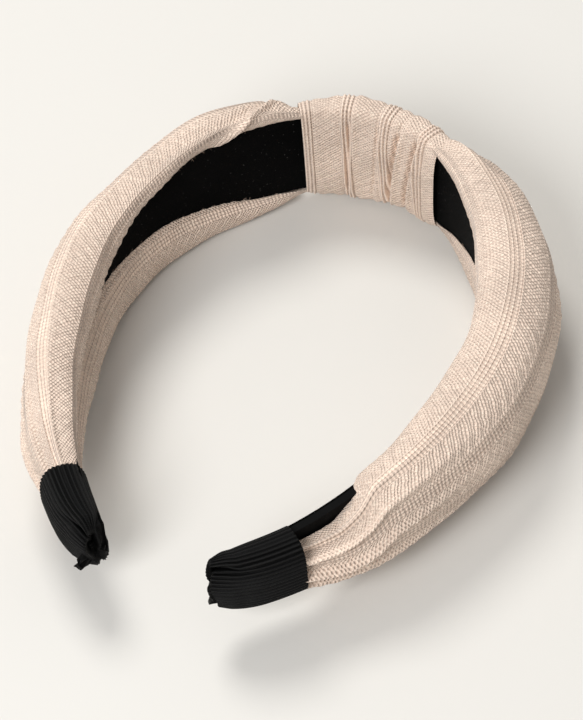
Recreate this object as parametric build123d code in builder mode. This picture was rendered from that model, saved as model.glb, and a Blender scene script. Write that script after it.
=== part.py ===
"""Knotted hair hoop standing on its lower edge, sizes in millimetres.

X runs across the opening, Y towards the knot at the crown, Z along the width of the band.
The origin is under the middle of the hoop, on the surface it stands on.
A sprung plastic strip is split by two upright pivots hidden in the knot, one for each arm.
"""

from math import cos, degrees, radians, sin
import os

from build123d import *

# Mid-line of the plastic strip: three tangent arcs on each side of the crown
crown_radius = 41.0
crown_turn = 40.0
side_radius = 82.0
side_turn = 55.5
tip_radius = 113.0
tip_turn = 44.0

# Plastic strip and the lining glued to its inner face
core_thickness = 2.0
core_width = 30.0
core_tip_width = 14.0
core_taper_start = 95.0
lining_thickness = 0.8
lining_margin = 0.4

# Knit cover of an arm, tapering from the knot to the cap
cover_tuck = 8.0
slot_end = 95.0
slot_end_width = 3.0
rest_flat = 1.3
# share of the way from knot to cap, roll past the strip's edge, puff outwards, lip inwards
cover_sections = (
    (0.00, 2.2, 2.2, 1.1),
    (0.03, 2.3, 2.5, 1.15),
    (0.14, 4.0, 6.5, 2.0),
    (0.32, 5.5, 10.0, 2.8),
    (0.55, 6.4, 11.0, 3.2),
    (0.80, 5.2, 8.5, 3.0),
    (1.00, 1.2, 5.0, 2.1),
)

# Pad between the strip and the cover of an arm
pad_thickness = 4.5
pad_start = 46.0
pad_end = 146.0
pad_margin = 0.5

# Ribbon cap glued over the end of an arm
ribbon_thickness = 1.0
cap_length = 24.0
cap_end_side = 3.0
cap_end_depth = 3.2

# Knot: the strand wrapped round the band and the strand that crosses its outer side
knot_length = 44.0
wrap_wall = 1.4
wrap_rounding = 4.0
strand_length = 34.0
strand_height = 27.0
strand_depth = 4.0
strand_slant = 4.0

# Upright pivots that stand in for the bending of the strip
pivot_distance = 17.5
knuckle_radius = 1.6
socket_wall = 1.1
swing_out = 18.0
swing_in = 4.0

# Clearances
gap = 0.2
moving_gap = 0.35
mouth_room = 0.7

# Values that follow from the sizes above
hoop_arcs = ((crown_radius, crown_turn), (side_radius, side_turn), (tip_radius, tip_turn))
half_length = sum(radius * radians(turn) for radius, turn in hoop_arcs)
knot_half = knot_length / 2
cap_rim = half_length - cap_length
core_end = half_length - ribbon_thickness - gap
socket_inner = knuckle_radius + moving_gap
socket_outer = socket_inner + socket_wall
arm_start = pivot_distance + socket_outer + moving_gap
strip_half = core_thickness / 2
lining_outer = strip_half + gap / 4
lining_inner = lining_outer + lining_thickness
widest_roll = max(row[1] for row in cover_sections)
mid_height = core_width / 2 + widest_roll - rest_flat
mouth_reach = knot_half - pivot_distance
mouth_outward = strip_half + cover_sections[0][2] + mouth_room + mouth_reach * sin(radians(swing_out))
mouth_inward = lining_inner + cover_sections[0][3] + mouth_room + mouth_reach * sin(radians(swing_in))
mouth_half = core_width / 2 + cover_sections[0][1] + mouth_room
wrap_outward = mouth_outward + wrap_wall
wrap_inward = mouth_inward + wrap_wall


def walk(distance):
    """Point and turn of the mid-line at a distance from the crown, before it is moved in Y."""
    side = -1 if distance < 0 else 1
    left = abs(distance)
    x = 0.0
    y = 0.0
    turn = 0.0
    for radius, sweep in hoop_arcs:
        step = min(left / radius, radians(sweep))
        x += radius * (sin(turn + step) - sin(turn))
        y -= radius * (cos(turn) - cos(turn + step))
        turn += step
        left -= radius * step
    return side * x, y, side * turn


# The bounding box is centred on the origin: the strand is at the back, the cap ends in front
end_x, end_y, end_turn = walk(half_length)
back = wrap_outward + gap + strand_depth
front = end_y + (strip_half + cap_end_depth) * cos(end_turn)
crown_y = -(back + front) / 2


def station(distance):
    """Plane across the band: local X outwards, local Y up."""
    x, y, turn = walk(distance)
    return Plane(
        origin=(x, y + crown_y, mid_height),
        x_dir=(sin(turn), cos(turn), 0),
        z_dir=(cos(turn), -sin(turn), 0),
    )


def core_half_width(distance):
    """Half the strip's width, which narrows evenly along Y from the taper's start."""
    wide_y = walk(core_taper_start)[1]
    share = (wide_y - walk(distance)[1]) / (wide_y - end_y)
    share = min(max(share, 0.0), 1.0)
    return (core_width + share * (core_tip_width - core_width)) / 2


def section(distance, half_height, outward, inward, middle=0.0):
    """Rounded section across the band, for a loft."""
    depth = outward + inward
    with BuildSketch(station(distance)) as outline:
        with Locations(((outward - inward) / 2, middle)):
            RectangleRounded(depth, 2 * half_height, 0.4 * min(depth, 2 * half_height))
    return outline.sketch


def band_outline(start, end, inward, outward):
    """Plan outline of a layer that follows the mid-line."""
    with BuildSketch() as outline:
        with BuildLine():
            turn = 0.0
            before = 0.0
            centre = (0.0, crown_y)
            for radius, sweep in hoop_arcs:
                centre = (centre[0] - radius * sin(turn), centre[1] - radius * cos(turn))
                after = before + radius * radians(sweep)
                first = max(start, before)
                last = min(end, after)
                if last > first:
                    begin = 90 - degrees(turn + (first - before) / radius)
                    size = -degrees((last - first) / radius)
                    CenterArc(centre, radius + outward, begin, size)
                    CenterArc(centre, radius + inward, begin, size)
                turn += radians(sweep)
                centre = (centre[0] + radius * sin(turn), centre[1] + radius * cos(turn))
                before = after
            for distance in (start, end):
                x, y, turn = walk(distance)
                Line(
                    (x + inward * sin(turn), y + crown_y + inward * cos(turn)),
                    (x + outward * sin(turn), y + crown_y + outward * cos(turn)),
                )
        make_face()
    return outline.sketch


def tapered_layer(start, end, inward, outward, wide, narrow, wide_place, narrow_place):
    """Layer along one arm whose half width narrows evenly along Y between two places."""
    wide_y = walk(wide_place)[1] + crown_y
    narrow_y = walk(narrow_place)[1] + crown_y
    reach = 4 * core_thickness
    with BuildPart() as layer:
        with BuildSketch(Plane.XY.offset(mid_height)):
            add(band_outline(start, end, inward, outward))
        extrude(amount=wide, both=True)
        with BuildSketch(Plane.YZ):
            with BuildLine():
                Polyline(
                    (crown_y + reach, mid_height + wide),
                    (wide_y, mid_height + wide),
                    (narrow_y, mid_height + narrow),
                    (narrow_y - reach, mid_height + narrow),
                    (narrow_y - reach, mid_height - narrow),
                    (narrow_y, mid_height - narrow),
                    (wide_y, mid_height - wide),
                    (crown_y + reach, mid_height - wide),
                    close=True,
                )
            make_face()
        extrude(amount=2 * side_radius, both=True, mode=Mode.INTERSECT)
    return layer.part


def strip_layer(start, end, inward, outward, grow):
    """Layer along one arm, as wide as the strip plus grow on each edge."""
    wide = core_width / 2 + grow
    narrow = core_tip_width / 2 + grow
    return tapered_layer(start, end, inward, outward, wide, narrow, core_taper_start, half_length)


def pivot_places():
    """Plan positions of both pivots."""
    x, y, turn = walk(pivot_distance)
    return (x, y + crown_y), (-x, y + crown_y)


# Middle of the plastic strip, with a half-round socket at each end
with BuildPart() as core_crown:
    with BuildSketch(Plane.XY.offset(mid_height)) as crown_plan:
        add(band_outline(0, pivot_distance, -strip_half, strip_half))
        mirror(about=Plane.YZ)
        with Locations(*pivot_places()):
            Circle(socket_outer)
        with Locations(*pivot_places()):
            Circle(socket_inner, mode=Mode.SUBTRACT)
        for side in (-1, 1):
            pivot = station(side * pivot_distance)
            clear = pivot.origin + pivot.z_dir * side * (socket_outer + gap)
            with Locations(Location((clear.X, clear.Y, 0), (0, 0, -degrees(walk(side * pivot_distance)[2])))):
                Rectangle(2 * socket_outer, 3 * socket_outer, mode=Mode.SUBTRACT)
    extrude(amount=core_width / 2, both=True)

# Lining of the middle, between the sockets
with BuildPart() as lining_crown:
    with BuildSketch(Plane.XY.offset(mid_height)):
        add(band_outline(0, pivot_distance - socket_outer - gap, -lining_inner, -lining_outer))
        mirror(about=Plane.YZ)
    extrude(amount=core_width / 2 - lining_margin, both=True)

# Strand wrapped round the band, with a pocket at each end that leaves an arm room to swing
pocket_start = pivot_distance - socket_outer - gap
with BuildPart() as knot_wrap:
    with BuildSketch(Plane.XY.offset(mid_height)):
        add(band_outline(0, knot_half, -wrap_inward, wrap_outward))
        mirror(about=Plane.YZ)
    extrude(amount=mouth_half + wrap_wall, both=True)
    fillet(knot_wrap.edges().filter_by(GeomType.CIRCLE), wrap_rounding)
    with BuildSketch(Plane.XY.offset(mid_height)):
        add(band_outline(0, knot_half, -(lining_inner + gap), strip_half + gap))
        mirror(about=Plane.YZ)
    extrude(amount=core_width / 2 + gap, both=True, mode=Mode.SUBTRACT)
    with BuildSketch(Plane.XY.offset(mid_height)):
        add(band_outline(pocket_start, knot_half, -mouth_inward, mouth_outward))
        mirror(about=Plane.YZ)
    extrude(amount=mouth_half, both=True, mode=Mode.SUBTRACT)

# Strand crossing the outer side of the knot, slanting from one edge of the band to the other
with BuildPart() as knot_front:
    for share, size in ((-1.0, 0.45), (-0.5, 0.85), (0.0, 1.0), (0.5, 0.85), (1.0, 0.45)):
        strand_top = wrap_outward + gap + size * strand_depth
        add(
            section(
                share * strand_length / 2,
                size * strand_height / 2,
                strand_top,
                -(wrap_outward + gap),
                -share * strand_slant,
            )
        )
    loft()

# Plastic strip of the right arm, with the round knuckle that turns in the socket
with BuildPart() as core_right:
    add(strip_layer(pivot_distance, core_end, -strip_half, strip_half, 0))
    with BuildSketch(Plane.XY.offset(mid_height)):
        with Locations(pivot_places()[0]):
            Circle(knuckle_radius)
    extrude(amount=core_width / 2, both=True)

# Lining of the right arm
with BuildPart() as lining_right:
    add(strip_layer(arm_start, core_end, -lining_inner, -lining_outer, -lining_margin))


def cover_rows():
    """Place along the arm and outer size of the cover at each of its sections."""
    rows = []
    for share, roll, puff, lip in cover_sections:
        place = arm_start + share * (cap_rim - arm_start)
        rows.append((place, core_half_width(place) + roll, strip_half + puff, lining_inner + lip))
    share, roll, puff, lip = cover_sections[-1]
    place = cap_rim + cover_tuck
    rows.append((place, core_half_width(place) + roll / 2, strip_half + puff * 0.7, lining_inner + lip * 0.7))
    return rows


# Pad between the strip and the cover of the right arm
pad_outer = strip_half + gap + pad_thickness
with BuildPart() as wadding_right:
    add(strip_layer(pad_start, pad_end, strip_half + gap, pad_outer, -pad_margin))

# Knit cover of the right arm, open along the inner face where the lining shows
strip_room = strip_layer(pivot_distance, half_length, -(lining_inner + gap), strip_half + gap / 2, gap)
pad_room = strip_layer(pad_start - gap, pad_end + gap, strip_half, pad_outer + gap, gap - pad_margin)
slot_room = tapered_layer(
    pivot_distance,
    slot_end,
    -(lining_inner + 3 * cover_sections[-2][3]),
    -lining_inner,
    core_width / 2,
    slot_end_width / 2,
    arm_start,
    slot_end,
)
with BuildPart() as cover_right:
    for place, half_height, outward, inward in cover_rows():
        add(section(place, half_height, outward, inward))
    loft()
    add(strip_room, mode=Mode.SUBTRACT)
    add(pad_room, mode=Mode.SUBTRACT)
    add(slot_room, mode=Mode.SUBTRACT)
    with BuildSketch(Plane.XY):
        Rectangle(4 * side_radius, 4 * side_radius)
    extrude(amount=-core_width, mode=Mode.SUBTRACT)

# Ribbon cap over the end of the right arm
with BuildPart() as cap_right:
    rim_row, tuck_row = cover_rows()[-2:]
    for place, half_height, outward, inward in (rim_row, tuck_row):
        shell = gap + ribbon_thickness
        add(section(place, half_height + shell, outward + shell, inward + shell))
    end_half = core_tip_width / 2 + cap_end_side
    end_depth = strip_half + cap_end_depth
    add(section(half_length, end_half, end_depth, end_depth))
    loft()
    for place, half_height, outward, inward in (rim_row, tuck_row):
        add(section(place, half_height + gap, outward + gap, inward + gap))
    end_half -= ribbon_thickness
    end_depth -= ribbon_thickness
    add(section(half_length - ribbon_thickness, end_half, end_depth, end_depth))
    loft(mode=Mode.SUBTRACT)

middle_parts = {
    "core_crown": core_crown,
    "lining_crown": lining_crown,
    "knot_wrap": knot_wrap,
    "knot_front": knot_front,
}
arm_parts = {
    "core": core_right,
    "lining": lining_right,
    "wadding": wadding_right,
    "cover": cover_right,
    "cap": cap_right,
}

os.makedirs("parts", exist_ok=True)
for name, piece in middle_parts.items():
    piece.part.label = name
    export_step(piece.part, f"parts/{name}.step")
for name, piece in arm_parts.items():
    with BuildPart() as mirrored:
        mirror(piece.part, about=Plane.YZ)
    piece.part.label = f"{name}_right"
    mirrored.part.label = f"{name}_left"
    export_step(piece.part, f"parts/{name}_right.step")
    export_step(mirrored.part, f"parts/{name}_left.step")
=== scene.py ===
"""Knotted hair hoop: knit covers, knot, lining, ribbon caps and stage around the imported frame."""

import math

import bmesh
import bpy
import numpy as np
from bpy.props import FloatProperty, FloatVectorProperty, IntProperty, PointerProperty
from mathutils import Matrix, Vector


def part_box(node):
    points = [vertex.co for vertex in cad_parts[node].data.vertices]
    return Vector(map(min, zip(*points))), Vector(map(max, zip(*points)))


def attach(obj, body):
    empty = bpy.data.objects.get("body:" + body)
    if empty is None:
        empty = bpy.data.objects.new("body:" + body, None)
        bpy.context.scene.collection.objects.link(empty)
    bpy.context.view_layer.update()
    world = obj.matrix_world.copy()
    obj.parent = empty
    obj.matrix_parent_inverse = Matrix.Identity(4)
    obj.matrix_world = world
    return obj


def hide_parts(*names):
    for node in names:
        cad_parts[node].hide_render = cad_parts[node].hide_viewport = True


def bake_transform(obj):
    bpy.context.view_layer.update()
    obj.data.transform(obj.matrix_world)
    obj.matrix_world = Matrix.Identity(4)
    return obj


bl_info = {
    "name": "Knotted hair hoop",
    "version": (1, 0, 0),
    "blender": (4, 5, 0),
    "location": "View3D > Sidebar > Hair hoop",
    "description": "Builds the knit covers, knot, ribbon caps and stage of a knotted hair hoop",
    "category": "Object",
}

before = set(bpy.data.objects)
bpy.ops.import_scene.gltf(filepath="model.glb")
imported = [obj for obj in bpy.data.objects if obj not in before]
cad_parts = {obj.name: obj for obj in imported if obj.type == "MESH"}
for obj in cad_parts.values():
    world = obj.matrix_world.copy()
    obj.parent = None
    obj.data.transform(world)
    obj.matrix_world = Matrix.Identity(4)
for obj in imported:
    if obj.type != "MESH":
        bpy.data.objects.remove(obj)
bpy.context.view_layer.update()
MM = 0.001

# The strip's mid-line: three tangent arcs on each side of the crown, in mm and degrees
ARCS = ((41.0, 40.0), (82.0, 55.5), (113.0, 44.0))
HALF_LENGTH = sum(radius * math.radians(turn) for radius, turn in ARCS)
CROWN_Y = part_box("core_crown")[1].y / MM - 1.0
MID_Z = (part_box("core_crown")[0].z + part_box("core_crown")[1].z) / 2 / MM
SIDES = {"left": -1, "right": 1}

# Places along an arm, from the knot to the cap, and the knit's section there, all in mm:
# how far it stands outward, up and down, how far its lips stand inward, and how high the lips' edges lie.
# "unwrapped" is the share by which the knit has left the strip's upper edge.
PLACES = (18.0, 23.0, 32.0, 48.0, 75.0, 105.0, 135.0, 149.0, 156.0, 163.0, 173.0, 180.0)
SHAPES = {
    "left": {
        "outward": (2.8, 4.2, 10.4, 12.2, 10.8, 11.6, 10.6, 10.6, 10.6, 9.8, 7.6, 3.6),
        "up": (15.2, 15.8, 19.2, 20.4, 20.2, 20.4, 16.9, 14.2, 12.6, 11.2, 9.0, 7.6),
        "down": (15.4, 16.4, 18.8, 20.0, 19.8, 19.6, 16.9, 14.2, 12.6, 11.2, 8.8, 7.6),
        "lip_up": (2.3, 2.6, 2.9, 3.3, 5.0, 6.0, 5.4, 4.6, 4.0, 3.2, 2.3, 2.1),
        "lip_down": (2.3, 2.8, 4.2, 5.2, 4.4, 6.3, 6.0, 5.0, 4.2, 3.2, 2.3, 2.1),
        "edge_up": (14.2, 14.6, 15.4, 15.6, 12.8, 4.7, 0.6, 0.5, 0.5, 0.5, 0.5, 0.5),
        "edge_down": (14.4, 14.8, 14.2, 10.0, 3.4, 0.6, 0.5, 0.5, 0.5, 0.5, 0.5, 0.5),
        "unwrapped": (0, 0, 0, 0, 0, 0, 0, 0, 0, 0, 0, 0),
    },
    "right": {
        "outward": (3.2, 6.2, 12.8, 15.8, 18.2, 17.4, 13.4, 11.8, 10.8, 9.2, 6.2, 3.4),
        "up": (15.2, 16.6, 18.6, 20.2, 20.0, 17.6, 14.6, 12.8, 8.4, 5.6, 5.0, 4.6),
        "down": (15.2, 16.2, 17.0, 19.5, 20.4, 19.7, 17.0, 14.6, 13.2, 11.6, 9.0, 7.6),
        "lip_up": (2.2, 2.7, 3.4, 4.2, 4.0, 3.6, 3.4, 3.2, 3.0, 3.0, 3.0, 2.4),
        "lip_down": (2.2, 2.6, 3.0, 3.4, 3.8, 5.6, 5.4, 4.8, 4.2, 3.4, 2.4, 2.1),
        "edge_up": (14.4, 15.0, 15.2, 14.0, 6.0, 1.0, 0.6, 0.5, 0.5, 0.5, 0.5, 0.5),
        "edge_down": (14.4, 14.2, 11.5, 7.0, 5.0, 1.6, 0.5, 0.5, 0.5, 0.5, 0.5, 0.5),
        "unwrapped": (0, 0, 0, 0, 0, 0, 0, 0.0, 0.7, 1.0, 1.0, 1.0),
    },
}


# One band of the knit in mm: three cords, then rows of seed stitch
CORDS = (0.6, 1.75, 2.9)
CORD_PITCH = 1.15
CORD_WIDTH = 0.37
CORDS_END = 3.45
SEED_START = 3.9
SEED_ROW = 2.7
SEED_STITCH = 3.6

# Gathers in the covers: share of the knit's width, half width, depth in mm, and drift of the share per mm
CAP_GATHERS = {
    "left": (
        (0.27, 0.012, 1.0, 0.0006), (0.37, 0.012, 1.4, 0.0006), (0.5, 0.016, 1.8, 0.0006),
        (0.64, 0.016, 1.5, 0.0006),
    ),
    "right": (
        (0.28, 0.012, 1.4, 0.0), (0.37, 0.015, 2.6, 0.0004), (0.49, 0.02, 3.8, 0.0006),
        (0.61, 0.018, 3.4, 0.0004), (0.74, 0.018, 1.8, 0.0),
    ),
}
CAP_GATHER_ORIGIN = {"left": 170, "right": 165}
KNOT_GATHERS = {
    "left": ((0.40, 0.016, 1.4, 0.002), (0.55, 0.02, 1.6, 0.002), (0.72, 0.02, 1.4, 0.002)),
    "right": (
        (0.27, 0.02, 1.6, 0.002), (0.40, 0.015, 1.4, 0.002), (0.55, 0.025, 1.8, 0.002),
        (0.72, 0.02, 1.4, 0.002),
    ),
}
KNOT_GATHER_ORIGIN = 30

# Where the lining shows between the lips, in mm from the crown
OPENING = (24, 112)

# Creases in mm. Wrapped strand: place, lean, half width, depth. Crossing strand: place, half width, depth
WRAP_CREASES = ((-8.6, 1.2, 0.8, 1.7), (6.4, 2.6, 0.85, 2.4), (12.4, 2.8, 0.8, 2.1), (0.6, 2.0, 0.6, 0.7))
FRONT_CREASES = ((-5.6, 0.7, 1.2), (3.4, 0.8, 1.7), (-1.2, 0.6, 0.6))

# Caps in mm: length over the strip, reach past its tip, outward offset of the middle from mouth to end,
# and in radians the phase of the ripple at the pinched end
CAP_LENGTH = 21.2
CAPS = {
    "left": {"past": 0.2, "middle": (3.0, 2.8, 1.8), "ripple": 0.6},
    "right": {"past": 1.2, "middle": (2.6, 2.2, 1.2), "ripple": 2.4},
}
# Pleats of a cap: angle, half width in radians, depth in mm, twist in radians
CAP_PLEATS = ((0.45, 0.16, 1.6, 0.5), (1.35, 0.2, 1.2, -0.4), (2.75, 0.16, 1.5, 0.5), (4.3, 0.2, 1.2, 0.4))

# Loose ribbon corners in mm: half width at the root, how much it narrows, reach along, lift outward, height
FLAP_THICKNESS = 0.8
FLAPS = {
    "left": {"half": 3.4, "taper": 1.4, "reach": 2.0, "lift": 5.0, "height": -3.6},
    "right": {"half": 5.2, "taper": 0.8, "reach": 4.4, "lift": 0.6, "height": -1.6},
}


# ---------------------------------------------------------------- shape helpers


def walk(place):
    """X, Y and turn of the mid-line at distances from the crown, in mm, as arrays."""
    place = np.asarray(place, float)
    side = np.sign(place) + (place == 0)
    left = np.abs(place)
    x, y, turn = 0 * left, 0 * left, 0 * left
    for radius, sweep in ARCS:
        step = np.clip(left / radius, 0, math.radians(sweep))
        x = x + radius * (np.sin(turn + step) - np.sin(turn))
        y = y - radius * (np.cos(turn) - np.cos(turn + step))
        turn = turn + step
        left = left - radius * step
    # past the last arc the line runs straight on
    x = x + left * np.cos(turn)
    y = y - left * np.sin(turn)
    return side * x, y, side * turn


def on_band(place, out, height):
    """Points in metres from distance along the band, outward offset and height, all in mm."""
    x, y, turn = walk(place)
    parts = (x + out * np.sin(turn), y + CROWN_Y + out * np.cos(turn), MID_Z + height)
    return np.stack(np.broadcast_arrays(*parts), -1) * MM


def smooth_rows(places, values, at):
    """Monotone cubic through the given values."""
    x, y = np.asarray(places, float), np.asarray(values, float)
    gap = np.diff(x)
    slope = np.diff(y) / gap
    grade = np.zeros_like(y)
    grade[0], grade[-1] = slope[0], slope[-1]
    for i in range(1, len(y) - 1):
        if slope[i - 1] * slope[i] > 0:
            a, b = 2 * gap[i] + gap[i - 1], gap[i] + 2 * gap[i - 1]
            grade[i] = (a + b) / (a / slope[i - 1] + b / slope[i])
    at = np.clip(at, x[0], x[-1])
    i = np.clip(np.searchsorted(x, at) - 1, 0, len(gap) - 1)
    t = (at - x[i]) / gap[i]
    return (
        y[i] * (1 + 2 * t) * (1 - t) ** 2
        + grade[i] * gap[i] * t * (1 - t) ** 2
        + y[i + 1] * t * t * (3 - 2 * t)
        + grade[i + 1] * gap[i] * t * t * (t - 1)
    )


def through(points, steps):
    """Smooth line through control points; points has shape (rows, controls, 2)."""
    first = 2 * points[:, :1] - points[:, 1:2]
    last = 2 * points[:, -1:] - points[:, -2:-1]
    p = np.concatenate([first, points, last], 1)
    u = np.linspace(0, 1, steps, endpoint=False)[None, :, None]
    out = []
    for i in range(1, p.shape[1] - 2):
        a, b, c, d = (p[:, k : k + 1] for k in range(i - 1, i + 3))
        curve = 2 * b + (c - a) * u + (2 * a - 5 * b + 4 * c - d) * u**2 + (3 * b - a - 3 * c + d) * u**3
        out.append(0.5 * curve)
    return np.concatenate(out + [p[:, -2:-1]], 1)


def even(lines, cuts, counts):
    """Resamples the parts of each row's line evenly, so that a column stays in its part all along."""
    parts = []
    for first, last, count in zip(cuts[:-1], cuts[1:], counts):
        part = lines[:, first : last + 1]
        steps = np.linalg.norm(np.diff(part, axis=1), axis=2)
        run = np.concatenate([np.zeros((len(part), 1)), np.cumsum(steps, 1)], 1)
        share = np.linspace(0, 1, count, endpoint=last == cuts[-1])
        part = [[np.interp(share * r[-1], r, line[:, k]) for k in (0, 1)] for r, line in zip(run, part)]
        parts.append(np.array(part).transpose(0, 2, 1))
    return np.concatenate(parts, 1)


def squared(wave, power):
    """A sine or cosine with fuller shoulders, for a flattened oval."""
    return np.sign(wave) * np.abs(wave) ** power


def add_object(name, data):
    obj = bpy.data.objects.new(name, data)
    bpy.context.collection.objects.link(obj)
    return obj


def skin(name, grid, along, across, closed=False):
    """Mesh from a grid of points (rows, columns, 3) with a UV map that holds mm along and across the knit."""
    rows, columns = grid.shape[:2]
    wide = columns if closed else columns - 1
    i, j = np.meshgrid(np.arange(rows - 1), np.arange(wide), indexing="ij")
    k = (j + 1) % columns
    row, next_row = i * columns, (i + 1) * columns
    faces = np.stack([row + j, row + k, next_row + k, next_row + j], -1).reshape(-1, 4)
    mesh = bpy.data.meshes.new(name)
    mesh.from_pydata(grid.reshape(-1, 3).tolist(), [], faces.tolist())
    far = np.where(k == 0, columns, k) if closed else k
    if closed:
        across = np.concatenate([across, 2 * across[:, -1:] - across[:, -2:-1]], 1)
        along = np.concatenate([along, 2 * along[:, -1:] - along[:, -2:-1]], 1)
    corners = np.stack([
        np.stack([along[i, j], across[i, j]], -1),
        np.stack([along[i, far], across[i, far]], -1),
        np.stack([along[i + 1, far], across[i + 1, far]], -1),
        np.stack([along[i + 1, j], across[i + 1, j]], -1),
    ], 2)
    uv = mesh.uv_layers.new(name="UVMap")
    uv.data.foreach_set("uv", corners.reshape(-1).astype(np.float32))
    work = bmesh.new()
    work.from_mesh(mesh)
    bmesh.ops.recalc_face_normals(work, faces=work.faces)
    work.to_mesh(mesh)
    work.free()
    mesh.shade_smooth()
    return add_object(name, mesh)


def normals_of(grid, closed=False):
    """Unit normals of a point grid."""
    a = np.gradient(grid, axis=0)
    if closed:
        b = np.roll(grid, -1, 1) - np.roll(grid, 1, 1)
    else:
        b = np.gradient(grid, axis=1)
    n = np.cross(a, b)
    return n / np.maximum(np.linalg.norm(n, axis=2, keepdims=True), 1e-12)


def bump(value, centre, width):
    """A round bell of height 1."""
    return np.exp(-(((value - centre) / width) ** 2))


def fade(value, start, end):
    """Rises evenly from 0 at start to 1 at end."""
    return np.clip((value - start) / (end - start), 0, 1)


def knit_relief(along, across, sizes):
    """Height of the knit in mm: bands of seed stitch between groups of raised ribs."""
    period = sizes.band_period / MM
    rib = sizes.rib_height / MM
    seed = sizes.seed_height / MM
    v = np.mod(across, period)
    ribs = sum(bump(v, centre, CORD_WIDTH) + bump(v, centre + period, CORD_WIDTH) for centre in CORDS)
    ribs = ribs * (0.85 + 0.15 * np.cos(2 * math.pi * along / CORD_PITCH))
    seed_place = v - SEED_START
    lane = fade(seed_place, 0, 0.6) * fade(v, period - 0.4, period - 1.0)
    brick = 0.5 * np.mod(np.floor(seed_place / SEED_ROW), 2)
    cells = np.cos(2 * math.pi * (along / SEED_STITCH + brick))
    cells = cells * np.sin(math.pi * np.mod(seed_place, SEED_ROW) / SEED_ROW)
    return rib * ribs + seed * lane * (0.5 + 0.5 * cells)


# ---------------------------------------------------------------- materials


class Nodes:
    """Short ways to wire shader nodes."""

    def __init__(self, name):
        self.material = bpy.data.materials.new(name)
        self.material.use_nodes = True
        self.tree = self.material.node_tree
        self.shader = self.tree.nodes["Principled BSDF"]

    def node(self, kind, **inputs):
        made = self.tree.nodes.new(kind)
        for key, value in inputs.items():
            self.put(made, key, value)
        return made

    def put(self, node, key, value):
        socket = node.inputs[key] if isinstance(key, int) else node.inputs[key.replace("_", " ")]
        if isinstance(value, bpy.types.NodeSocket):
            self.tree.links.new(value, socket)
        else:
            socket.default_value = value

    def math(self, operation, a, b=0.0, c=0.0):
        made = self.tree.nodes.new("ShaderNodeMath")
        made.operation = operation
        for k, value in enumerate((a, b, c)):
            self.put(made, k, value)
        return made.outputs[0]

    def mix(self, factor, a, b):
        made = self.tree.nodes.new("ShaderNodeMix")
        made.data_type = "RGBA"
        for key, value in (("Factor", factor), ("A", a), ("B", b)):
            kind = "VALUE" if key == "Factor" else "RGBA"
            socket = next(s for s in made.inputs if s.name == key and s.type == kind)
            if isinstance(value, bpy.types.NodeSocket):
                self.tree.links.new(value, socket)
            else:
                socket.default_value = value
        return next(s for s in made.outputs if s.type == "RGBA")

    def noise(self, scale, detail=2.0, vector=None):
        made = self.node("ShaderNodeTexNoise", Scale=scale, Detail=detail)
        if vector is not None:
            self.put(made, "Vector", vector)
        return made.outputs["Fac"]

    def ramp(self, value, low, high):
        made = self.tree.nodes.new("ShaderNodeMapRange")
        made.interpolation_type = "SMOOTHSTEP"
        for key, number in (("Value", value), ("From Min", low), ("From Max", high)):
            self.put(made, key, number)
        return made.outputs[0]

    def uv(self):
        split = self.node("ShaderNodeSeparateXYZ", Vector=self.tree.nodes.new("ShaderNodeUVMap").outputs[0])
        return split.outputs[0], split.outputs[1]

    def solid(self):
        return self.tree.nodes.new("ShaderNodeTexCoord").outputs["Object"]

    def finish(self, colour, roughness, height, strength, distance, **values):
        self.put(self.shader, "Base Color", colour)
        self.put(self.shader, "Roughness", roughness)
        made = self.node("ShaderNodeBump", Strength=strength, Distance=distance, Height=height)
        self.put(self.shader, "Normal", made.outputs[0])
        for key, value in values.items():
            self.shader.inputs[key.replace("_", " ")].default_value = value
        return self.material


def rgba(colour, factor=1.0):
    """The colour, lighter or darker by the factor, with full alpha."""
    return (*[min(c * factor, 1.0) for c in colour], 1.0)


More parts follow.
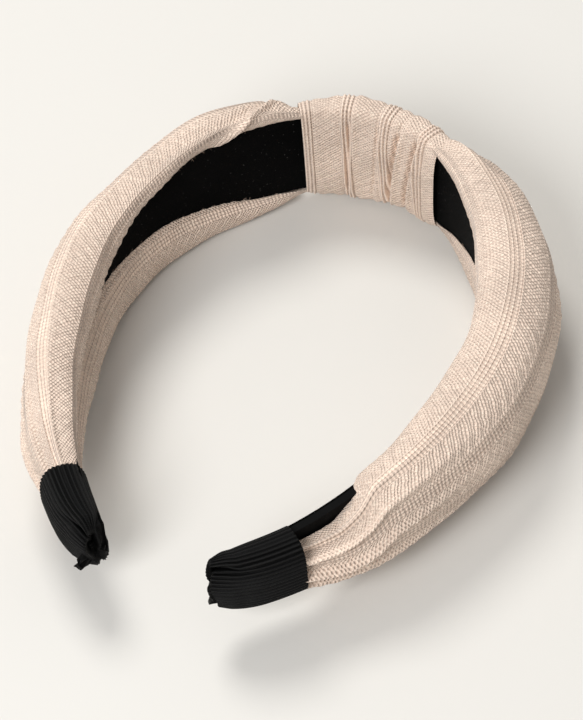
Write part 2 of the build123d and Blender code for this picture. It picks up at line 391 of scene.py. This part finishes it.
def knit_yarn(colours):
    """Heathered knit with V-shaped stitches, painted shade in the pinhole gaps and grooves between them, and
    a soft halo.
    """
    n = Nodes("knit_yarn")
    period = bpy.context.scene.hoop_sizes.band_period / MM
    u, v = n.uv()
    wander = n.noise(420.0, 2.0, n.solid())
    u = n.math("MULTIPLY_ADD", wander, 1.1, u)
    lane = n.math("FLOORED_MODULO", v, period)
    after_cords = n.ramp(lane, CORDS_END, CORDS_END + 0.4)
    before_cords = n.ramp(lane, period - 0.05, period - 0.35)
    banded = n.math("MULTIPLY", after_cords, before_cords)
    # seed stitch: loops in a brick pattern with a pinhole beside each
    dots = n.math(
        "MULTIPLY",
        n.math("COSINE", n.math("MULTIPLY", u, 2 * math.pi / 1.05)),
        n.math("COSINE", n.math("MULTIPLY", v, 2 * math.pi / 1.6)),
    )
    # ribs: slanting stitches on cords, with a groove between cords
    half_cord = CORD_PITCH / 2
    slant = n.math("PINGPONG", n.math("SUBTRACT", lane, CORDS[0] - half_cord), half_cord)
    leaning = n.math("MULTIPLY_ADD", slant, 0.8, u)
    stitch = n.math("SINE", n.math("MULTIPLY", leaning, 2 * math.pi / CORD_PITCH))
    cord = n.math("SINE", n.math("MULTIPLY", slant, math.pi / CORD_PITCH))
    ribbed = n.math("MULTIPLY_ADD", cord, 1.5, n.math("MULTIPLY_ADD", stitch, 0.3, -0.85))
    seeded = n.math("MULTIPLY", dots, banded)
    corded = n.math("MULTIPLY", ribbed, n.math("SUBTRACT", 1.0, banded))
    height = n.math("ADD", seeded, corded)
    # painted shade: the low places of the stitch pattern (pinhole gaps in the seed bands, grooves between
    # cords) are darkened towards a shade colour
    hollow_shade_mask = n.math("SUBTRACT", 1.0, n.ramp(height, -0.85, -0.1))
    fibre = n.noise(2600.0, 3.0, n.solid())
    cloud = n.noise(70.0, 3.0, n.solid())
    fleck = n.noise(1100.0, 2.0, n.solid())
    patchy = n.ramp(n.noise(160.0, 2.0, n.solid()), 0.3, 0.7)
    base = n.mix(n.ramp(cloud, 0.35, 0.68), rgba(colours.yarn, 0.96), rgba(colours.yarn, 1.1))
    base = n.mix(n.math("MULTIPLY", n.ramp(fleck, 0.5, 0.72), 0.45), base, rgba(colours.yarn, 1.3))
    base = n.mix(n.math("MULTIPLY", n.ramp(fleck, 0.5, 0.3), 0.3), base, rgba(colours.yarn, 0.6))
    # how strongly the painted shade darkens those hollows: less in the seed bands, more in random patches
    shaded = n.math("MULTIPLY_ADD", patchy, 0.28, n.math("MULTIPLY_ADD", banded, -0.28, 0.5))
    base = n.mix(n.math("MULTIPLY", hollow_shade_mask, shaded), base, rgba(colours.yarn_painted_shade))
    rough = n.math("MULTIPLY_ADD", fibre, 0.15, 0.8)
    height = n.math("MULTIPLY_ADD", fibre, 0.6, height)
    return n.finish(
        base, rough, height, 0.9, 0.00035,
        Sheen_Weight=0.3, Sheen_Roughness=0.5, Sheen_Tint=(1.0, 0.95, 0.9, 1.0), Specular_IOR_Level=0.25,
    )


def velvet(colours):
    """Short black pile with a little lint."""
    n = Nodes("velvet_lining")
    place = n.solid()
    pile = n.noise(4200.0, 2.0, place)
    brushed = n.noise(45.0, 3.0, place)
    lint = n.ramp(n.noise(1500.0, 1.0, place), 0.735, 0.76)
    base = n.mix(n.ramp(brushed, 0.3, 0.7), rgba(colours.pile, 0.6), rgba(colours.pile, 1.6))
    base = n.mix(n.math("MULTIPLY", lint, 0.25), base, (0.2, 0.19, 0.18, 1.0))
    return n.finish(
        base, n.math("MULTIPLY_ADD", pile, 0.1, 0.88), pile, 0.5, 0.0003,
        Sheen_Weight=0.02, Sheen_Roughness=0.35, Specular_IOR_Level=0.04,
    )


def grosgrain(colours):
    """Black ribbon with fine weft cords; the main ribs are in the shape, with painted highlight on their
    crests and painted shade in their grooves.
    """
    n = Nodes("grosgrain_ribbon")
    u, v = n.uv()
    weft = n.math("SINE", n.math("MULTIPLY", u, 2 * math.pi / 0.32))
    pitch = bpy.context.scene.hoop_sizes.ribbon_pitch / MM
    warp = n.math("COSINE", n.math("MULTIPLY", v, 2 * math.pi / pitch))
    worn = n.noise(420.0, 3.0, n.solid())
    # painted highlight and shade: the rib crests are painted lighter and the grooves between them darker
    base = n.mix(n.ramp(warp, -0.4, 0.95), rgba(colours.ribbon, 0.12), rgba(colours.ribbon, 2.6))
    base = n.mix(n.math("MULTIPLY", n.ramp(worn, 0.55, 0.8), 0.4), base, rgba(colours.ribbon, 2.5))
    rough = n.math("MULTIPLY_ADD", worn, 0.25, 0.42)
    return n.finish(
        base, rough, n.math("ADD", n.math("MULTIPLY", weft, 0.3), warp), 0.5, 0.00015,
        Sheen_Weight=0.0, Specular_IOR_Level=0.14,
    )


def moulded(colours):
    """Black moulded strip with flow marks and scuffs."""
    n = Nodes("moulded_strip")
    place = n.solid()
    grain = n.noise(1800.0, 2.0, place)
    scuff = n.ramp(n.noise(160.0, 4.0, place), 0.55, 0.75)
    base = n.mix(scuff, rgba(colours.strip), rgba(colours.strip, 2.2))
    rough = n.math("MULTIPLY_ADD", scuff, 0.15, 0.7)
    return n.finish(base, rough, grain, 0.2, 0.0001, Specular_IOR_Level=0.06)


def fleece(colours):
    """Loose white filling."""
    n = Nodes("fleece_pad")
    place = n.solid()
    tangle = n.noise(700.0, 5.0, place)
    base = n.mix(n.ramp(tangle, 0.35, 0.7), rgba(colours.pad, 0.75), rgba(colours.pad))
    return n.finish(base, n.math("MULTIPLY_ADD", tangle, 0.1, 0.85), tangle, 0.8, 0.0006, Sheen_Weight=0.3)


def set_glue(colours):
    """Amber set glue."""
    n = Nodes("set_glue")
    wave = n.noise(900.0, 2.0, n.solid())
    base = n.mix(wave, rgba(colours.glue, 0.8), rgba(colours.glue, 1.3))
    return n.finish(base, n.math("MULTIPLY_ADD", wave, 0.2, 0.15), wave, 0.3, 0.0002, Coat_Weight=0.5)


def studio_floor(colours):
    """Plain pale card."""
    n = Nodes("pale_card")
    place = n.solid()
    tooth = n.noise(300.0, 3.0, place)
    base = n.mix(n.noise(4.0, 2.0, place), rgba(colours.floor, 0.985), rgba(colours.floor))
    return n.finish(base, n.math("MULTIPLY_ADD", tooth, 0.1, 0.8), tooth, 0.05, 0.0005)


FINISHES = {}


def finish_of(name):
    """Each finish is made once."""
    makers = {
        "knit": knit_yarn, "lining": velvet, "ribbon": grosgrain, "plastic": moulded,
        "wadding": fleece, "glue": set_glue, "floor": studio_floor,
    }
    if name not in FINISHES:
        FINISHES[name] = makers[name](bpy.context.scene.hoop_colours)
    return FINISHES[name]


def dress(obj, finish):
    """Gives a piece one finish all over."""
    obj.data.materials.clear()
    obj.data.materials.append(finish_of(finish))


# ---------------------------------------------------------------- settings


class HoopSizes(bpy.types.PropertyGroup):
    band_period: FloatProperty(
        name="Band period", description="Width of one seed-stitch band with its ribs",
        default=0.0124, unit="LENGTH",
    )
    rib_height: FloatProperty(
        name="Rib height", description="How far the ribs stand up",
        default=0.0007, unit="LENGTH",
    )
    seed_height: FloatProperty(
        name="Seed height", description="How far the seed stitches stand up",
        default=0.00042, unit="LENGTH",
    )
    knit_width: FloatProperty(
        name="Knit width", description="Flat width of the knit round an arm",
        default=0.094, unit="LENGTH",
    )
    columns: IntProperty(
        name="Columns", description="Mesh columns across the knit",
        default=330,
    )
    rows: IntProperty(
        name="Rows", description="Mesh rows along an arm",
        default=290,
    )
    fibres: IntProperty(
        name="Fibres", description="Loose fibres at the knit's edges, for each arm",
        default=420,
    )
    ribbon_pitch: FloatProperty(
        name="Ribbon pitch", description="Distance between the cap's ribs",
        default=0.00128, unit="LENGTH",
    )


class HoopColours(bpy.types.PropertyGroup):
    yarn: FloatVectorProperty(
        name="Yarn", description="Colour of the knit in light",
        default=(0.84, 0.67, 0.55), subtype="COLOR",
    )
    # painted shade: the colour that the knit's hollows between stitches are darkened towards
    yarn_painted_shade: FloatVectorProperty(
        name="Yarn shade", description="Colour deep between stitches",
        default=(0.40, 0.25, 0.18), subtype="COLOR",
    )
    pile: FloatVectorProperty(
        name="Pile", description="Colour of the lining",
        default=(0.0012, 0.0012, 0.0012), subtype="COLOR",
    )
    ribbon: FloatVectorProperty(
        name="Ribbon", description="Colour of the caps",
        default=(0.0014, 0.0014, 0.0014), subtype="COLOR",
    )
    strip: FloatVectorProperty(
        name="Strip", description="Colour of the moulded strip",
        default=(0.0025, 0.0025, 0.0025), subtype="COLOR",
    )
    pad: FloatVectorProperty(
        name="Pad", description="Colour of the filling",
        default=(0.85, 0.83, 0.8), subtype="COLOR",
    )
    glue: FloatVectorProperty(
        name="Glue", description="Colour of the set glue",
        default=(0.16, 0.07, 0.04), subtype="COLOR",
    )
    floor: FloatVectorProperty(
        name="Floor", description="Colour of the card",
        default=(0.67, 0.655, 0.62), subtype="COLOR",
    )


# ---------------------------------------------------------------- pieces


def cover_grid(side, sizes):
    """Points of one arm's knit, with mm along and across it."""
    shape = SHAPES[side]
    place = np.linspace(PLACES[0], PLACES[-1], sizes.rows)
    at = {key: smooth_rows(PLACES, values, place) for key, values in shape.items()}
    out, up, down = at["outward"], at["up"], at["down"]
    lip_up, lip_down = at["lip_up"], at["lip_down"]
    edge_up, edge_down = at["edge_up"], at["edge_down"]
    loose = np.clip(at["unwrapped"], 0, 1)
    # how far inward the knit's rim lies, flat on the lining
    rim = np.full_like(out, 2.0)
    upper = (
        (-rim + 0.3, edge_up + 1.6, 1.6, edge_up),
        (-rim - 0.2, edge_up, 1.4, edge_up + 0.15 * up),
        (-lip_up, edge_up + 0.3 * (up - edge_up), 1.3, 0.45 * up),
        (-0.92 * lip_up, edge_up + 0.76 * (up - edge_up), 1.3, 0.8 * up),
        (-0.42 * lip_up, edge_up + 0.96 * (up - edge_up), 1.6, 0.98 * up),
    )
    lower = (
        (-0.42 * lip_down, -edge_down - 0.96 * (down - edge_down)),
        (-0.92 * lip_down, -edge_down - 0.76 * (down - edge_down)),
        (-lip_down, -edge_down - 0.3 * (down - edge_down)),
        (-rim - 0.2, -edge_down),
        (-rim + 0.3, -edge_down - 1.6),
    )
    belly = (
        (0.3 * out, up), (0.8 * out, 0.72 * up), (out, 0.2 * up),
        (out, -0.2 * down), (0.8 * out, -0.72 * down), (0.3 * out, -down),
    )
    # the last two values of the upper points are where they lie once the knit has left the strip's edge
    upper = [(n + (n_off - n) * loose, z + (z_off - z) * loose) for n, z, n_off, z_off in upper]
    controls = np.stack([np.stack(pair, -1) for pair in (*upper, *belly, *lower)], 1)
    # each lip takes a fifth of the columns
    steps = 8
    lip = round(0.2 * sizes.columns)
    spans = len(controls[0]) - 1
    cuts = (0, 4 * steps, (spans - 4) * steps, spans * steps)
    line = even(through(controls, steps), cuts, (lip, sizes.columns - 2 * lip, lip))
    share = np.linspace(0, 1, sizes.columns)[None, :]
    along = np.repeat(place[:, None], sizes.columns, 1)
    across = share * sizes.knit_width / MM + 0 * along
    return line, along, across, share


def crease(share, centre, width, depth):
    """A sharp valley with a soft shoulder on one side."""
    return depth * (0.45 * bump(share, centre + 1.6 * width, 1.5 * width) - bump(share, centre, width))


def gathers(rows, share, offset):
    """Creases side by side round the knit, each drifting with the distance from its origin."""
    return sum(crease(share, centre + drift * offset, width, depth) for centre, width, depth, drift in rows)


def pleat(along, run):
    """The left arm's pleat: it starts at the lining and climbs over the roll to the knot."""
    climb = 0.8 + 8.5 * fade(along, 52, 30)
    window = fade(along, 60, 40) * fade(along, 23, 32) * fade(run, 0.3, 1.5)
    return (1.3 * bump(run, climb + 3.2, 2.4) - 1.8 * bump(run, climb, 0.9)) * window


def cover_folds(side, along, share, run):
    """Gathers of the knit in mm: they deepen towards the cap and the knot."""
    near_cap = fade(along, 118, 164) ** 1.5 * fade(along, 181, 173)
    near_knot = fade(along, 52, 26) ** 1.5 * fade(along, 18, 24)
    folds = gathers(CAP_GATHERS[side], share, along - CAP_GATHER_ORIGIN[side]) * near_cap
    folds = folds + gathers(KNOT_GATHERS[side], share, along - KNOT_GATHER_ORIGIN) * near_knot
    if side == "left":
        folds = folds + pleat(along, run)
    waves = 0.4 * np.sin(along / 9.0 + 7 * share) * np.sin(9 * share + along / 31.0)
    waves += 0.25 * np.sin(along / 4.7 + 2.0 + 5 * share) * np.sin(23 * share + along / 13.0)
    return folds + waves * fade(along, 175, 155)


def make_cover(side):
    """One arm's knit: a gathered tube, open along its inner face near the knot."""
    sizes = bpy.context.scene.hoop_sizes
    sign = SIDES[side]
    line, along, across, share = cover_grid(side, sizes)
    grid = on_band(sign * along, line[..., 0], line[..., 1])
    facing = normals_of(grid) * -sign
    run = np.cumsum(np.linalg.norm(np.diff(line, axis=1, prepend=line[:, :1]), axis=2), 1)
    height = cover_folds(side, along, share, run)
    spread = np.linalg.norm(np.gradient(line, axis=1), axis=2) / np.gradient(across, axis=1)
    height = height + knit_relief(along, across, sizes) * np.clip(spread, 0.25, 1.0)
    hem_share, table_gap = 0.03, 0.2
    height = height * fade(np.minimum(share, 1 - share), 0, hem_share)
    grid = grid + facing * height[..., None] * MM
    grid[..., 2] = np.maximum(grid[..., 2], table_gap * MM)
    obj = skin(f"knit_cover_{side}", grid, along, across)
    dress(obj, "knit")
    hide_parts(f"cover_{side}")
    follow_arm(obj)
    make_fuzz(side, grid, along)
    return obj


def make_fuzz(side, grid, along):
    """Loose fibres that stand off the knit's edges, over the lining; each is a strip of three quads."""
    sizes = bpy.context.scene.hoop_sizes
    sign = SIDES[side]
    count = sizes.fibres
    chance = np.random.default_rng(7 + sign)
    rows = np.nonzero((along[:, 0] > OPENING[0]) & (along[:, 0] < OPENING[1]))[0]
    row = chance.choice(rows, count)
    upper = chance.random(count) < 0.5
    inset = chance.integers(2, 12, count)
    root = grid[row, np.where(upper, inset, grid.shape[1] - 1 - inset)]
    turn = walk(sign * along[row, 0])[2]
    flat = 0 * turn
    inward = -np.stack([np.sin(turn), np.cos(turn), flat], -1)
    onward = np.stack([np.cos(turn), -np.sin(turn), flat], -1)
    across = np.stack([flat, flat, np.where(upper, -1.0, 1.0)], -1)
    aim = (
        across * chance.uniform(0.2, 1.0, (count, 1)) + inward * chance.uniform(0.1, 0.7, (count, 1))
        + onward * chance.normal(0, 0.7, (count, 1))
    )
    aim = aim / np.linalg.norm(aim, axis=1, keepdims=True)
    bend = chance.normal(size=(count, 3))
    bend = bend / np.linalg.norm(bend, axis=1, keepdims=True)
    edge = np.cross(aim, bend)
    edge = edge / np.maximum(np.linalg.norm(edge, axis=1, keepdims=True), 1e-9)
    length = chance.uniform(0.5, 1.7, (count, 1)) * MM
    points = []
    steps, thin = (0.0, 0.35, 0.7, 1.0), 0.035
    for t in steps:
        middle = root + aim * length * t + bend * length * 0.3 * t * t
        half = edge * thin * (1 - 0.6 * t) * MM
        points += [middle - half, middle + half]
    points = np.stack(points, 1).reshape(-1, 3)
    first = np.arange(count)[:, None, None] * 2 * len(steps) + np.arange(len(steps) - 1)[None, :, None] * 2
    faces = (first + np.array([0, 1, 3, 2])[None, None, :]).reshape(-1, 4)
    mesh = bpy.data.meshes.new(f"knit_fuzz_{side}")
    mesh.from_pydata(points.tolist(), [], faces.tolist())
    uv = mesh.uv_layers.new(name="UVMap")
    uv.data.foreach_set("uv", np.tile(np.array([0.0, 8.0], np.float32), len(uv.data)))
    obj = add_object(f"knit_fuzz_{side}", mesh)
    dress(obj, "knit")
    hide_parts(f"cover_{side}")
    follow_arm(obj)
    return obj


def follow_arm(obj):
    """Bakes the piece's placement into its mesh, so that it stays where it was made."""
    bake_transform(obj)


def make_wrap():
    """Closed band round the crown, gathered across, with both mouths turned in."""
    sizes = bpy.context.scene.hoop_sizes
    columns, rows = 330, 190
    # half of the strand's width along the band, in mm
    reach = 22.6
    place = np.linspace(-reach, reach, rows)
    # the hems run back inside the mouths, a little smaller with each row
    hem = np.array([3.2, 2.0, 0.9, 0.3])
    hem_turn = np.array([0.86, 0.88, 0.92, 0.97])
    place = np.concatenate([hem - reach, place, (reach - hem)[::-1]])
    turned = np.concatenate([hem_turn, np.ones(rows), hem_turn[::-1]])
    turned_up = 1 - (1 - turned) * 0.24
    outside = (turned == 1)[:, None]
    edge = np.where(turned == 1, np.abs(place) / reach, 1.0)
    angle = np.linspace(0, 2 * math.pi, columns, endpoint=False)
    ends = 1 - edge**10
    swell = 1 - edge**2
    inward = (3.9 + 1.0 * swell + 0.5 * ends) * turned
    outward = (4.2 + 1.0 * fade(place, 0, reach) + 0.8 * swell + 0.5 * ends) * turned
    tall = (16.6 + 1.0 * swell + 0.3 * ends) * turned_up
    cos_a, sin_a = np.cos(angle), np.sin(angle)
    flat_a = squared(cos_a, 0.52)
    flat_b = squared(sin_a, 0.72)
    depth = np.where(cos_a[None, :] > 0, outward[:, None], inward[:, None])
    out = depth * flat_a[None, :]
    height = tall[:, None] * flat_b[None, :]
    v = place[:, None] + 0 * out
    slant = fade(v, 0, reach) * (0.9 + 1.1 * height / 17)
    grid = on_band(v + slant, out, height)
    centre = on_band(v + slant, 0 * out, 0 * height)
    facing = normals_of(grid, True)
    facing *= np.sign(((grid - centre) * facing).sum(2)[10:-10].mean())
    inner = np.clip(-cos_a[None, :] * 3, 0, 1)
    up = height / 18.0
    folds = sum(crease(v, centre + lean * up, width, deep) for centre, lean, width, deep in WRAP_CREASES)
    folds = folds * (1 - 0.7 * fade(np.abs(height), 12.5, 15.5))
    sway = 0.25 * np.sin(height / 6.0 + v / 5.0) + 0.2 * np.sin(height / 3.1 - v / 3.0)
    relief = knit_relief(flat_b[None, :] * 19 + 0 * v, v + reach + 0.3, sizes) * 0.85
    lift = (folds * (0.55 + 0.45 * inner) + sway + relief) * ends[:, None] * outside
    grid = grid + facing * lift[..., None] * MM
    ring = grid[rows // 2]
    girth = np.cumsum(np.linalg.norm(np.diff(ring, axis=0), axis=1)) / MM
    u = np.concatenate([[0], girth])[None, :] + 0 * v
    obj = skin("knot_wrapped_strand", grid, u, v + reach + 0.3, closed=True)
    dress(obj, "knit")
    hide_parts("knot_wrap")
    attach(obj, "crown")
    return obj


def make_front():
    """Strand that crosses the outer side of the knot, edge to edge, both ends tucked in."""
    sizes = bpy.context.scene.hoop_sizes
    rows, columns = 170, 160
    t = np.linspace(-1, 1, rows)
    height = np.where(t > 0, 14.4, 16.6) * np.sin(t * math.pi / 2)
    middle = -4.5 * t - 1.0 * np.sin(math.pi * t)
    # the strand stands highest below the middle and dives under the wrap at both edges
    swell = np.clip(1 - ((t + 0.3) / np.where(t > -0.3, 1.3, 0.7)) ** 2, 0, 1)
    rise = 0.4 + 6.8 * swell**0.7
    half = 7.5 + 3.4 * swell**0.5
    angle = np.linspace(-math.pi, math.pi, columns)
    across = np.sin(angle / 2)
    arch = np.abs(np.cos(angle / 2))
    place = middle[:, None] + half[:, None] * across[None, :]
    out = rise[:, None] - 2.6 + 3.4 * arch[None, :] ** 0.75
    grid = on_band(place, out, height[:, None] + 0 * place)
    facing = normals_of(grid)
    facing *= np.sign(facing[rows // 2, columns // 2, 1])
    v = across[None, :] * 13.0 + 0 * place
    u = t[:, None] * 22.0 + 0 * place
    gather = 1 + 0.6 * np.abs(t[:, None]) ** 2
    folds = sum(crease(v, *fold) for fold in FRONT_CREASES)
    lift = (folds * gather + knit_relief(u, v + 19.0, sizes)) * np.clip(arch[None, :] * 4, 0, 1)
    grid = grid + facing * (lift * np.clip((1 - np.abs(t)) * 12, 0, 1)[:, None])[..., None] * MM
    obj = skin("knot_crossing_strand", grid, u, v)
    dress(obj, "knit")
    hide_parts("knot_front")
    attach(obj, "crown")
    return obj


def make_cap(side):
    """Ribbed ribbon cap, pinched shut and folded at its end."""
    sizes = bpy.context.scene.hoop_sizes
    sign = SIDES[side]
    columns, rows = 400, 100
    t = np.linspace(0, 1, rows)
    cap = CAPS[side]
    start, end = HALF_LENGTH - CAP_LENGTH, HALF_LENGTH + cap["past"]
    place = start + (end - start) * t
    angle = np.linspace(0, 2 * math.pi, columns, endpoint=False)
    deep = smooth_rows((0, 0.45, 0.8, 0.93, 1), (6.3, 5.9, 4.6, 3.2, 2.2), t)
    middle = smooth_rows((0, 0.5, 1), cap["middle"], t)
    tall = smooth_rows((0, 0.5, 0.82, 1), (9.9, 9.9, 9.4, 7.8), t)
    c, s = np.cos(angle)[None, :], np.sin(angle)[None, :]
    out = middle[:, None] + deep[:, None] * squared(c, 0.7)
    height = tall[:, None] * squared(s, 0.85)
    pinch = fade(t[:, None], 0.72, 1)
    out = out + 1.3 * pinch * np.sin(height / 3.4 + cap["ripple"])
    along = place[:, None] + 0.9 * pinch * np.sin(height / 2.6 + 1.0) - 0.35 * np.abs(s) * (1 - t[:, None])
    grid = on_band(sign * along, out, height)
    facing = normals_of(grid, True)
    centre = grid.mean(1, keepdims=True)
    facing *= np.sign(((grid - centre) * facing).sum(2).mean())
    girth = np.linalg.norm(np.diff(np.concatenate([grid[0], grid[0][:1]]), axis=0), axis=1).cumsum() / MM
    v = np.concatenate([[0], girth[:-1]])
    pitch = sizes.ribbon_pitch / MM
    ribs = round(girth[-1] / pitch)
    ridge = 0.5 * np.abs(np.cos(math.pi * ribs * v / girth[-1])) ** 0.9 - 0.25
    pleats = 0 * out
    for spot, width, depth, twist in CAP_PLEATS:
        turned = np.mod(angle[None, :] - spot - twist * t[:, None] + math.pi, 2 * math.pi) - math.pi
        pleats += crease(turned, 0.0, width, depth) * fade(t[:, None], 0.4, 1) ** 1.4
    grid = grid + facing * (ridge[None, :] + pleats)[..., None] * MM
    # the end closes in on itself and the mouth turns in against the knit
    ring, first = grid[-1], grid[0]
    middle_point, inner = ring.mean(0, keepdims=True), first.mean(0, keepdims=True)
    closing_rings = ((0.93, 0.25), (0.78, 0.1), (0.6, -0.7), (0.4, -1.8), (0.05, -2.4))
    turn = walk(sign * end)[2]
    forward = np.array([math.cos(turn), -math.sin(turn), 0.0]) * sign
    closing = [
        middle_point + (ring - middle_point) * k + forward[None, :] * push * MM
        for k, push in closing_rings
    ]
    lips = [inner + (first - inner) * k for k in (0.9, 0.965)]
    grid = np.concatenate([np.stack(lips), grid, np.stack(closing)])
    u = np.concatenate([[start - 1, start - 0.5], place, end + np.arange(1, len(closing) + 1) * 1.2])
    u = u[:, None] + 0 * angle[None, :]
    v = v[None, :] * (ribs * pitch / girth[-1]) + 0 * u
    obj = skin(f"ribbon_cap_{side}", grid, u, v, closed=True)
    dress(obj, "ribbon")
    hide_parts(f"cap_{side}")
    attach(obj, f"arm_{side}")
    return obj


def make_flap(side):
    """Loose corner of the ribbon that sticks out of the folded end."""
    sign = SIDES[side]
    rows, columns = 36, 60
    t = np.linspace(0, 1, rows)[:, None]
    w = np.linspace(-1, 1, columns)[None, :]
    flap = FLAPS[side]
    pitch = bpy.context.scene.hoop_sizes.ribbon_pitch / MM
    half = flap["half"] - flap["taper"] * t
    along = HALF_LENGTH - 1.8 + flap["reach"] * t + 0.5 * np.sin(5 * w) * t
    out = 2.4 + flap["lift"] * t + 0.7 * np.sin(3.5 * w + 2 * t) * t
    height = flap["height"] + half * w
    top = on_band(sign * along, out + FLAP_THICKNESS / 2, height)
    under = on_band(sign * along, out - FLAP_THICKNESS / 2, height)
    grid = np.concatenate([top, under[:, ::-1]], 1)
    both_faces = np.concatenate([height, height[:, ::-1]], 1)
    ridges = 0.16 * np.cos(2 * math.pi * both_faces / pitch)
    facing = normals_of(grid, True)
    grid = grid + facing * ridges[..., None] * MM
    tip = grid[-1].mean(0, keepdims=True)
    grid = np.concatenate([grid, np.stack([tip + (grid[-1] - tip) * k for k in (0.6, 0.1)])])
    u = np.concatenate([t[:, :1] * 6.0, [[6.3], [6.6]]]) + 0 * grid[..., 0]
    v = both_faces[:1] + 0 * u
    obj = skin(f"ribbon_flap_{side}", grid, u, v, closed=True)
    dress(obj, "ribbon")
    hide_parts(f"cap_{side}")
    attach(obj, f"arm_{side}")
    return obj


def make_glue():
    """Small bead of glue in the folded end of the right cap."""
    radius, stretch, dents = 0.0008, 1.5, 0.15
    mesh = bpy.data.meshes.new("glue_bead")
    work = bmesh.new()
    bmesh.ops.create_icosphere(work, subdivisions=3, radius=radius)
    for vert in work.verts:
        vert.co.x *= stretch
        vert.co *= 1 + dents * math.sin(2300 * vert.co.y + 1700 * vert.co.z)
    work.to_mesh(mesh)
    work.free()
    mesh.shade_smooth()
    obj = add_object("glue_bead", mesh)
    obj.location = on_band(np.array(HALF_LENGTH + 0.6), np.array(2.6), np.array(3.4))
    dress(obj, "glue")
    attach(obj, "arm_right")
    return obj


# ---------------------------------------------------------------- operators


class HOOP_OT_frame(bpy.types.Operator):
    """Gives the strip, lining and filling their finishes"""

    bl_idname = "hoop.frame_finish"
    bl_label = "Strip, lining and filling"

    def execute(self, context):
        for name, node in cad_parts.items():
            kind = name.split("_")[0]
            if kind in ("core", "lining", "wadding"):
                finish = {"core": "plastic"}.get(kind, kind)
                for slot in node.material_slots:
                    slot.material = finish_of(finish)
        return {"FINISHED"}


class HOOP_OT_covers(bpy.types.Operator):
    """Makes the knit covers of both arms"""

    bl_idname = "hoop.covers"
    bl_label = "Knit covers"

    def execute(self, context):
        for side in SIDES:
            make_cover(side)
        return {"FINISHED"}


class HOOP_OT_knot(bpy.types.Operator):
    """Makes the wrapped strand and the crossing strand of the knot"""

    bl_idname = "hoop.knot"
    bl_label = "Knot"

    def execute(self, context):
        make_wrap()
        make_front()
        return {"FINISHED"}


class HOOP_OT_caps(bpy.types.Operator):
    """Makes the ribbed ribbon caps"""

    bl_idname = "hoop.caps"
    bl_label = "Ribbon caps"

    def execute(self, context):
        for side in SIDES:
            make_cap(side)
            make_flap(side)
        make_glue()
        return {"FINISHED"}


def area_light(name, place, size, power, colour):
    """A round soft light aimed at the middle of the hoop."""
    data = bpy.data.lights.new(name, "AREA")
    data.shape = "DISK"
    data.size = size
    data.energy = power
    data.color = colour
    lamp = add_object(name, data)
    lamp.location = place
    lamp.rotation_euler = (Vector((0, 0, 0.02)) - Vector(place)).to_track_quat("-Z", "Y").to_euler()


class HOOP_OT_stage(bpy.types.Operator):
    """Adds the floor, the soft lights and the camera"""

    bl_idname = "hoop.stage"
    bl_label = "Stage"

    def execute(self, context):
        half = 3.0
        corners = [(-half, -half, 0), (half, -half, 0), (half, half, 0), (-half, half, 0)]
        mesh = bpy.data.meshes.new("pale_floor")
        mesh.from_pydata(corners, [], [(0, 1, 2, 3)])
        floor = add_object("pale_floor", mesh)
        dress(floor, "floor")
        area_light("key_softbox", (-0.5, 0.5, 1.1), 0.55, 9.5, (1.0, 0.985, 0.96))
        area_light("fill_softbox", (-0.15, -1.0, 0.9), 0.7, 13.5, (0.99, 0.99, 1.0))
        world = bpy.data.worlds.new("soft_room")
        world.use_nodes = True
        background = world.node_tree.nodes["Background"]
        background.inputs["Color"].default_value = (1.0, 0.99, 0.98, 1.0)
        background.inputs["Strength"].default_value = 0.45
        context.scene.world = world
        context.scene.view_settings.view_transform = "Standard"
        lens = bpy.data.cameras.new("studio_camera")
        lens.sensor_width = 36.0
        lens.lens = 170.0
        lens.clip_start = 0.05
        camera = add_object("studio_camera", lens)
        # the camera stands in front, above and to the right, and looks down at the middle of the hoop
        right = Vector((0.92174, 0.3835, -0.05766))
        down = Vector((0.25898, -0.71936, -0.64455))
        ahead = right.cross(down)
        turn = Matrix((right, -down, -ahead)).transposed()
        place = Vector((272.21, -614.18 + CROWN_Y, 702.67 + MID_Z)) * MM
        camera.matrix_world = Matrix.Translation(place) @ turn.to_4x4()
        context.scene.camera = camera
        return {"FINISHED"}


class HOOP_PT_panel(bpy.types.Panel):
    """Lists the pieces of the hoop"""

    bl_idname = "HOOP_PT_panel"
    bl_label = "Hair hoop"
    bl_space_type = "VIEW_3D"
    bl_region_type = "UI"
    bl_category = "Hair hoop"

    def draw(self, context):
        for group in (context.scene.hoop_sizes, context.scene.hoop_colours):
            for key in group.__annotations__:
                self.layout.prop(group, key)
        for operator in OPERATORS:
            self.layout.operator(operator.bl_idname)


OPERATORS = (HOOP_OT_frame, HOOP_OT_covers, HOOP_OT_knot, HOOP_OT_caps, HOOP_OT_stage)
CLASSES = (HoopSizes, HoopColours, *OPERATORS, HOOP_PT_panel)


def register():
    for made in CLASSES:
        bpy.utils.register_class(made)
    bpy.types.Scene.hoop_sizes = PointerProperty(type=HoopSizes)
    bpy.types.Scene.hoop_colours = PointerProperty(type=HoopColours)


def unregister():
    del bpy.types.Scene.hoop_colours
    del bpy.types.Scene.hoop_sizes
    for made in reversed(CLASSES):
        bpy.utils.unregister_class(made)


def main():
    register()
    bpy.ops.hoop.frame_finish()
    bpy.ops.hoop.covers()
    bpy.ops.hoop.knot()
    bpy.ops.hoop.caps()
    bpy.ops.hoop.stage()


if __name__ == "__main__":
    main()
